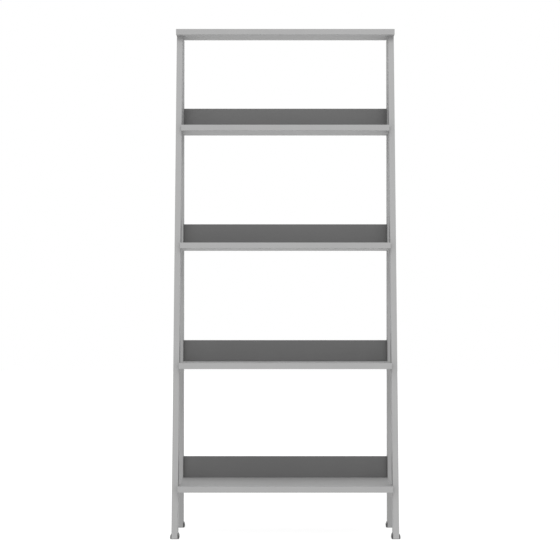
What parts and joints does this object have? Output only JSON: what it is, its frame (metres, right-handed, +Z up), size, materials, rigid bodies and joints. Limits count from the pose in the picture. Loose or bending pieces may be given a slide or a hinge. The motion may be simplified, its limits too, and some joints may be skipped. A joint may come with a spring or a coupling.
{
  "type": "ladder shelf",
  "caption": "Open A-frame ladder shelf: boards that deepen towards the floor, each with a low back rail, between two pairs of leaning and upright legs.",
  "frame": {"origin": "on the floor, at the middle of the shelf's bounding box", "axes": "+Z up, -Y towards the front, where the lower shelves reach out, +X to the right seen from the front"},
  "size_m": [0.616, 0.305, 1.397],
  "materials": {
    "frame_paint": "satin light grey paint on board",
    "rail_paint": "satin dark grey paint on board",
    "glide_plastic": "matte moulded",
    "cap_plastic": "matte moulded, matched to the paint",
    "screw_steel": "bright zinc plating",
    "dowel_wood": "bare beech"
  },
  "bodies": {
    "root": {"front_leg_left": "frame_paint", "foot_glide_front_left": "glide_plastic", "front_leg_right": "frame_paint", "foot_glide_front_right": "glide_plastic", "rear_leg_left": "frame_paint", "foot_glide_rear_left": "glide_plastic", "rear_leg_right": "frame_paint", "foot_glide_rear_right": "glide_plastic", "top_board": "frame_paint", "shelf_1": "frame_paint", "back_rail_1": "rail_paint", "shelf_2": "frame_paint", "back_rail_2": "rail_paint", "shelf_3": "frame_paint", "back_rail_3": "rail_paint", "shelf_4": "frame_paint", "back_rail_4": "rail_paint", "shelf_screws_front_left": "screw_steel", "shelf_screw_caps_front_left": "cap_plastic", "shelf_dowels_front_left": "dowel_wood", "shelf_screws_front_right": "screw_steel", "shelf_screw_caps_front_right": "cap_plastic", "shelf_dowels_front_right": "dowel_wood", "shelf_screws_rear_left": "screw_steel", "shelf_screw_caps_rear_left": "cap_plastic", "shelf_dowels_rear_left": "dowel_wood", "shelf_screws_rear_right": "screw_steel", "shelf_screw_caps_rear_right": "cap_plastic", "shelf_dowels_rear_right": "dowel_wood", "rail_screws_left": "screw_steel", "rail_screw_caps_left": "cap_plastic", "rail_screws_right": "screw_steel", "rail_screw_caps_right": "cap_plastic", "top_board_screws": "screw_steel", "top_board_screw_caps": "cap_plastic", "top_board_dowels": "dowel_wood", "rail_dowels": "dowel_wood", "glide_nails": "screw_steel"}
  },
  "joints": []
}
